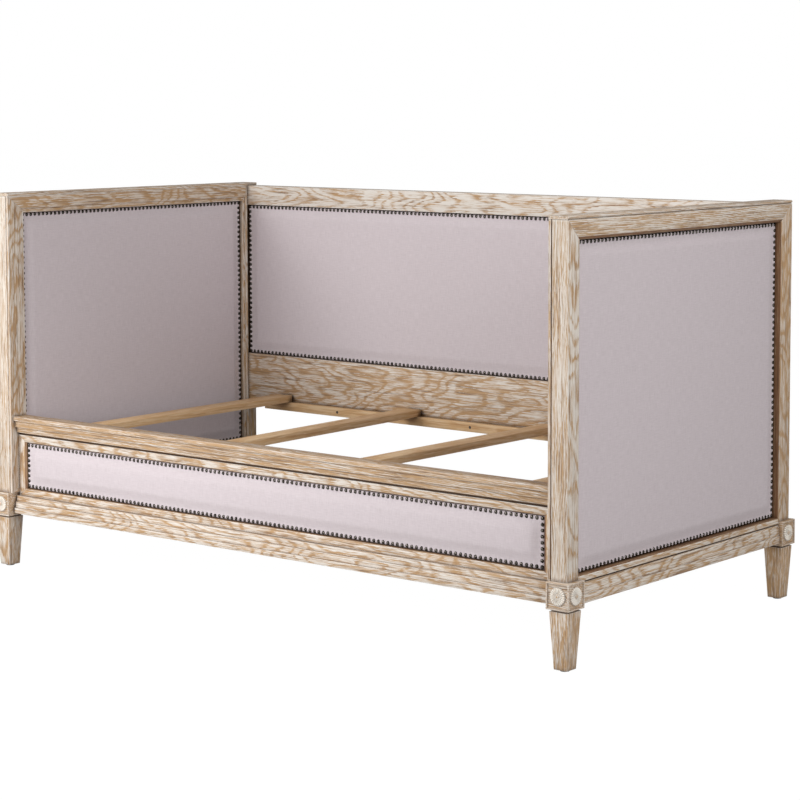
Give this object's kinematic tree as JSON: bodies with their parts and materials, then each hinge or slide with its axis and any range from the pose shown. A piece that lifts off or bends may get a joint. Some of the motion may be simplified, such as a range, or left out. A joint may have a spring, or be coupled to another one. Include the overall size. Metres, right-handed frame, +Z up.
{
  "type": "daybed",
  "caption": "Upholstered daybed frame: panelled wood back and arms of equal height, nailhead borders, a stepped low front rail, square tapered legs and loose slats.",
  "frame": {"origin": "on the floor, under the centre of the daybed's bounding box", "axes": "+X along the length towards the right arm as seen from the front, +Y towards the back panel, +Z up"},
  "size_m": [2.1182, 1.0962, 1.118],
  "materials": {
    "limed_oak": "wire-brushed oak, white lime in the grain",
    "linen": "pale lavender-grey linen weave",
    "bronze_nails": "antiqued dark bronze",
    "plain_pine": "planed softwood, unfinished",
    "core_board": "plain board",
    "beech_dowels": "plain",
    "steel_fasteners": "zinc",
    "glides": "smooth"
  },
  "bodies": {
    "frame": {"back_bottom_rail": "limed_oak", "back_inner_nails": "bronze_nails", "back_inner_pad": "linen", "back_ledger": "plain_pine", "back_ledger_screws": "steel_fasteners", "back_outer_nails": "bronze_nails", "back_outer_pad": "linen", "back_panel_board": "core_board", "back_stiles": "core_board", "back_top_rail": "limed_oak", "foot_glides": "glides", "front_base_moulding": "limed_oak", "front_cap_moulding": "limed_oak", "front_frame": "limed_oak", "front_ledger": "plain_pine", "front_ledger_screws": "steel_fasteners", "front_nails": "bronze_nails", "front_pad": "linen", "front_rail_board": "core_board", "left_arm_base_moulding": "limed_oak", "left_arm_bottom_rail": "limed_oak", "left_arm_front_post": "limed_oak", "left_arm_inner_frame": "limed_oak", "left_arm_inner_nails": "bronze_nails", "left_arm_inner_pad": "linen", "left_arm_outer_nails": "bronze_nails", "left_arm_outer_pad": "linen", "left_arm_panel_board": "core_board", "left_arm_rear_post": "limed_oak", "left_arm_top_cap": "limed_oak", "left_arm_top_rail": "limed_oak", "left_front_corner_block": "limed_oak", "left_front_leg": "limed_oak", "left_rear_corner_block": "limed_oak", "left_rear_leg": "limed_oak", "leg_bolts": "steel_fasteners", "post_dowels": "beech_dowels", "rail_dowels": "beech_dowels", "right_arm_base_moulding": "limed_oak", "right_arm_bottom_rail": "limed_oak", "right_arm_front_post": "limed_oak", "right_arm_inner_frame": "limed_oak", "right_arm_inner_nails": "bronze_nails", "right_arm_inner_pad": "linen", "right_arm_outer_nails": "bronze_nails", "right_arm_outer_pad": "linen", "right_arm_panel_board": "core_board", "right_arm_rear_post": "limed_oak", "right_arm_top_cap": "limed_oak", "right_arm_top_rail": "limed_oak", "right_front_corner_block": "limed_oak", "right_front_leg": "limed_oak", "right_rear_corner_block": "limed_oak", "right_rear_leg": "limed_oak"},
    "slat_1": {"slat_1": "plain_pine"},
    "slat_2": {"slat_2": "plain_pine"},
    "slat_3": {"slat_3": "plain_pine"},
    "slat_4": {"slat_4": "plain_pine"}
  },
  "joints": [
    {"name": "slat_1_lift", "type": "slide", "parent": "frame", "child": "slat_1", "axis": [0, 0, 1], "range_m": [0, 0.75]},
    {"name": "slat_2_lift", "type": "slide", "parent": "frame", "child": "slat_2", "axis": [0, 0, 1], "range_m": [0, 0.75]},
    {"name": "slat_3_lift", "type": "slide", "parent": "frame", "child": "slat_3", "axis": [0, 0, 1], "range_m": [0, 0.75]},
    {"name": "slat_4_lift", "type": "slide", "parent": "frame", "child": "slat_4", "axis": [0, 0, 1], "range_m": [0, 0.75]}
  ]
}
